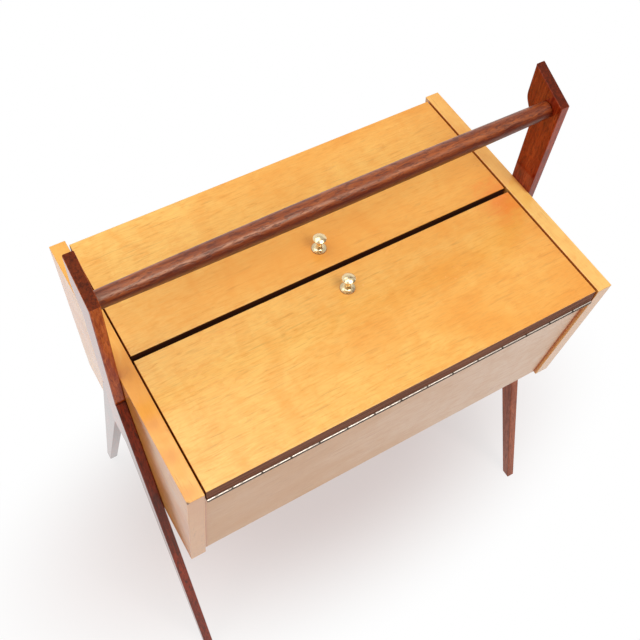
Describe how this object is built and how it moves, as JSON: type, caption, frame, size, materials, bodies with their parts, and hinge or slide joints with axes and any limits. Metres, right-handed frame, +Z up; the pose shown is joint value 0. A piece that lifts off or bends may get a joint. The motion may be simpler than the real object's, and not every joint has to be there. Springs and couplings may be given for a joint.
{
  "type": "sewing box",
  "caption": "Sewing box with slanted sides and hinged lids with small knobs, carried between splayed-leg end frames that are joined by a turned rod.",
  "frame": {"origin": "on the floor, in the middle of the rectangle that the four feet stand on", "axes": "+X along the case to the right as seen from the front, +Y from front to back, +Z up"},
  "size_m": [0.47, 0.3, 0.591],
  "materials": {
    "honey_birch": "satin lacquer",
    "dark_strip": "satin",
    "dark_teak": "satin lacquer",
    "inner_wood": "matte",
    "hinge_steel": "dull",
    "screw_steel": "dull",
    "knob_brass": "polished"
  },
  "bodies": {
    "case": {"left_end_panel": "honey_birch", "right_end_panel": "honey_birch", "front_wall": "honey_birch", "back_wall": "honey_birch", "bottom_board": "inner_wood", "wall_dowels": "inner_wood", "left_lid_rest": "inner_wood", "right_lid_rest": "inner_wood", "left_lid_rest_screws": "screw_steel", "right_lid_rest_screws": "screw_steel", "left_frame_screws": "screw_steel", "right_frame_screws": "screw_steel", "left_upright": "dark_teak", "right_upright": "dark_teak", "left_front_leg": "dark_teak", "right_front_leg": "dark_teak", "left_back_leg": "dark_teak", "right_back_leg": "dark_teak", "carrying_rod": "dark_teak", "front_hinge_wall_leaf": "hinge_steel", "back_hinge_wall_leaf": "hinge_steel", "front_hinge_pin": "hinge_steel", "back_hinge_pin": "hinge_steel", "front_wall_leaf_screws": "screw_steel", "back_wall_leaf_screws": "screw_steel"},
    "front_lid": {"front_lid_board": "honey_birch", "front_lid_hinge_strip": "dark_strip", "front_lid_gap_strip": "dark_strip", "front_hinge_lid_leaf": "hinge_steel", "front_lid_leaf_screws": "screw_steel", "front_knob": "knob_brass", "front_knob_screw": "screw_steel"},
    "back_lid": {"back_lid_board": "honey_birch", "back_lid_hinge_strip": "dark_strip", "back_lid_gap_strip": "dark_strip", "back_hinge_lid_leaf": "hinge_steel", "back_lid_leaf_screws": "screw_steel", "back_knob": "knob_brass", "back_knob_screw": "screw_steel"}
  },
  "joints": [
    {"name": "front_lid_hinge", "type": "hinge", "parent": "case", "child": "front_lid", "pos_m": [0, -0.1433, 0.4361], "axis": [1, 0, 0], "range_deg": [0, 195]},
    {"name": "back_lid_hinge", "type": "hinge", "parent": "case", "child": "back_lid", "pos_m": [0, 0.1433, 0.4361], "axis": [-1, 0, 0], "range_deg": [0, 195]}
  ]
}
